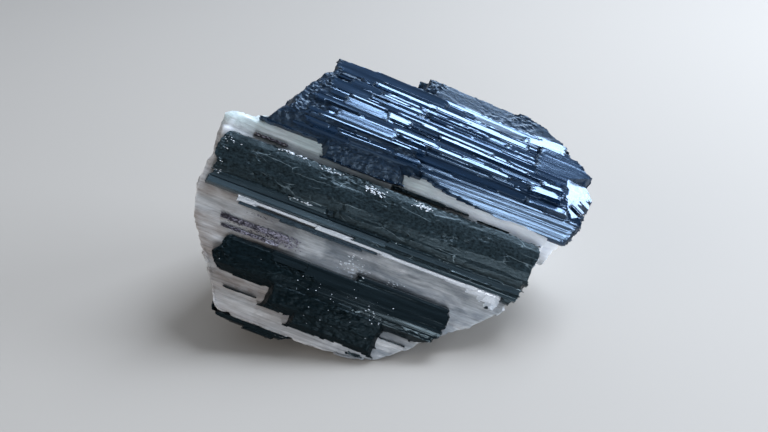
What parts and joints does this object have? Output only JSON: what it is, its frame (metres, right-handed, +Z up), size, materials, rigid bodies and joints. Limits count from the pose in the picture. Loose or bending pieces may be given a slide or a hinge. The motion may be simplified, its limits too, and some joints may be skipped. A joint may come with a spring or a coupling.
{
  "type": "black tourmaline with quartz",
  "caption": "Hand specimen of milky quartz with long striated black tourmaline crystals lying in it side by side, resting on a flat broken base.",
  "frame": {"origin": "middle of the stone's outline as seen from above, on the surface that it rests on", "axes": "+Z up, +X towards the right end of the crystals, -Y towards the broken front face with the crystal bands"},
  "size_m": [0.0724, 0.045, 0.0407],
  "materials": {
    "milky_quartz": "milky, faintly translucent quartz, broken and ridged along the crystals",
    "black_tourmaline": "opaque black glassy crystal, finely striated along its length, dull where broken",
    "smoky_tourmaline": "thin brown-violet crystal blade, lightly striated"
  },
  "bodies": {
    "root": {"quartz_matrix": "milky_quartz", "upper_tourmaline_bundle": "black_tourmaline", "middle_tourmaline_bundle": "black_tourmaline", "lower_tourmaline_bundle": "black_tourmaline", "bottom_tourmaline_blade": "black_tourmaline", "back_tourmaline_crystal": "black_tourmaline", "ledge_blade": "black_tourmaline", "left_needle": "black_tourmaline", "right_needle": "black_tourmaline", "seam_blade_middle": "black_tourmaline", "seam_needle_right": "black_tourmaline", "smoky_blade_upper": "smoky_tourmaline", "smoky_blade_lower": "smoky_tourmaline", "seam_blade_left": "smoky_tourmaline"}
  },
  "joints": []
}
